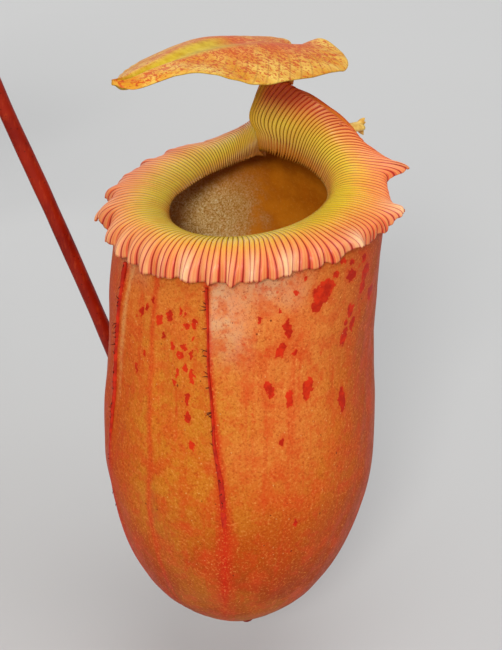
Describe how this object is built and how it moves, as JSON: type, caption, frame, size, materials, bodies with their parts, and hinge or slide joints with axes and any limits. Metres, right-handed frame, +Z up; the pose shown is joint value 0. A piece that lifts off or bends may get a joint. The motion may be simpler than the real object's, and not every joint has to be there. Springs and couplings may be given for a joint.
{
  "type": "potted pitcher plant",
  "caption": "Tropical pitcher plant in a plain clay pot: strap leaves on a short stem, and a ribbed, lidded orange pitcher hanging from one leaf's tendril.",
  "frame": {"origin": "centre of the pot's flat underside, on the surface it stands on", "axes": "+Z up along the pot's axis, +X towards the side the full-grown pitcher hangs on; a camera that looks along +Y sees the pitcher as it was pictured"},
  "size_m": [0.5792, 0.452, 0.3239],
  "materials": {
    "terracotta": "matte",
    "medium": "matte",
    "stem": "matte",
    "leaf": "satin",
    "young_leaf": "satin",
    "tendril": "satin",
    "pitcher_wall": "satin",
    "pitcher_rim": "gloss",
    "pitcher_lid": "satin",
    "pitcher_wing": "matte"
  },
  "bodies": {
    "root": {"pot": "terracotta", "growing_medium": "medium", "stem": "stem", "growing_tip": "young_leaf", "pitcher_cup": "pitcher_wall", "peristome": "pitcher_rim", "lid": "pitcher_lid", "spur": "pitcher_lid", "wing_left": "pitcher_wing", "wing_right": "pitcher_wing", "leaf_1": "leaf", "tendril_1": "tendril", "leaf_2": "leaf", "tendril_2": "tendril", "leaf_3": "leaf", "tendril_3": "tendril", "leaf_4": "leaf", "tendril_4": "tendril", "leaf_5": "leaf", "tendril_5": "tendril", "leaf_6": "leaf", "tendril_6": "tendril", "leaf_7": "leaf", "tendril_7": "tendril", "leaf_8": "leaf", "tendril_8": "tendril"}
  },
  "joints": []
}
